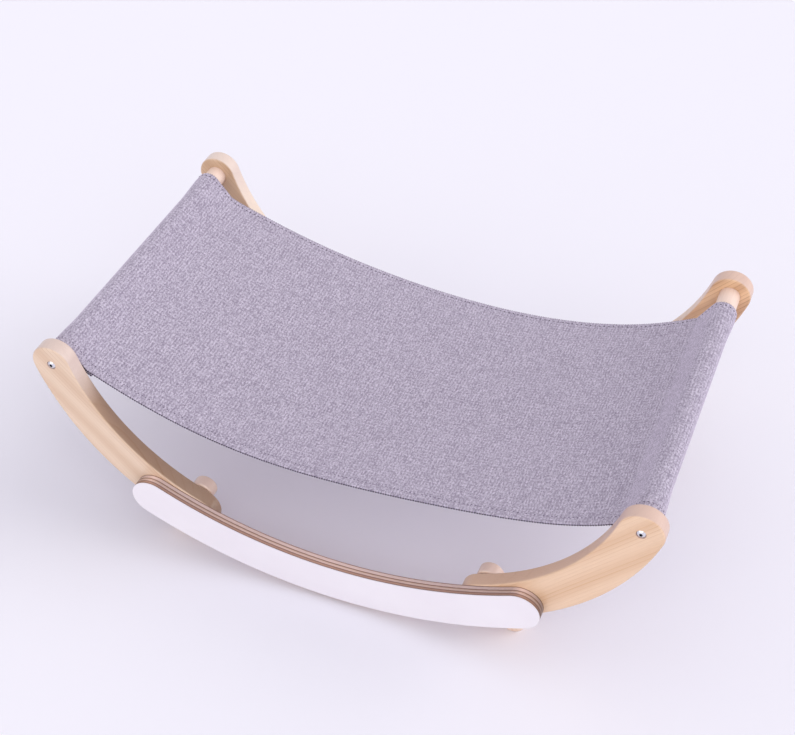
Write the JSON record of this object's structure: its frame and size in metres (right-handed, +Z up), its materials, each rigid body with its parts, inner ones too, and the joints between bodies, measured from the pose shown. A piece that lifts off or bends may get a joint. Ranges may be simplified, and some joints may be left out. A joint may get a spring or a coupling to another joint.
{
  "type": "cat hammock",
  "caption": "Rocking cat hammock: a cloth sling on wooden rails between smile-shaped side frames, with pivoting stops that swing down so that it stands still.",
  "frame": {"origin": "on the floor, under the middle of the hammock, as it stands on its lowered stops", "axes": "+X along the rockers to the right, +Y to the rear, +Z up"},
  "size_m": [0.6426, 0.3994, 0.2328],
  "materials": {
    "pine": "smooth oiled pine",
    "plywood": "bare layered edge",
    "white_laminate": "satin",
    "linen": "heathered plain weave",
    "polished_steel": "polished",
    "steel": "zinc plated",
    "brass": "turned"
  },
  "bodies": {
    "frame": {"front_rocker_board": "plywood", "front_rocker_face": "white_laminate", "rear_rocker_board": "plywood", "rear_rocker_face": "white_laminate", "front_left_arm": "pine", "front_right_arm": "pine", "rear_left_arm": "pine", "rear_right_arm": "pine", "left_rail": "pine", "right_rail": "pine", "rail_inserts": "brass", "rail_bolts": "polished_steel", "arm_screws": "steel", "stop_inserts": "brass", "stop_bolts": "steel", "stop_washers": "steel", "sling": "linen"},
    "front_left_stop": {"front_left_stop": "pine"},
    "front_right_stop": {"front_right_stop": "pine"},
    "rear_left_stop": {"rear_left_stop": "pine"},
    "rear_right_stop": {"rear_right_stop": "pine"}
  },
  "joints": [
    {"name": "front_left_stop_turn", "type": "hinge", "parent": "frame", "child": "front_left_stop", "pos_m": [-0.16194, -0.1617, 0.05713], "axis": [0, 1, 0], "range_deg": [0, 90]},
    {"name": "front_right_stop_turn", "type": "hinge", "parent": "frame", "child": "front_right_stop", "pos_m": [0.16194, -0.1617, 0.05713], "axis": [0, -1, 0], "range_deg": [0, 90]},
    {"name": "rear_left_stop_turn", "type": "hinge", "parent": "frame", "child": "rear_left_stop", "pos_m": [-0.16194, 0.1617, 0.05713], "axis": [0, 1, 0], "range_deg": [0, 90]},
    {"name": "rear_right_stop_turn", "type": "hinge", "parent": "frame", "child": "rear_right_stop", "pos_m": [0.16194, 0.1617, 0.05713], "axis": [0, -1, 0], "range_deg": [0, 90]}
  ]
}
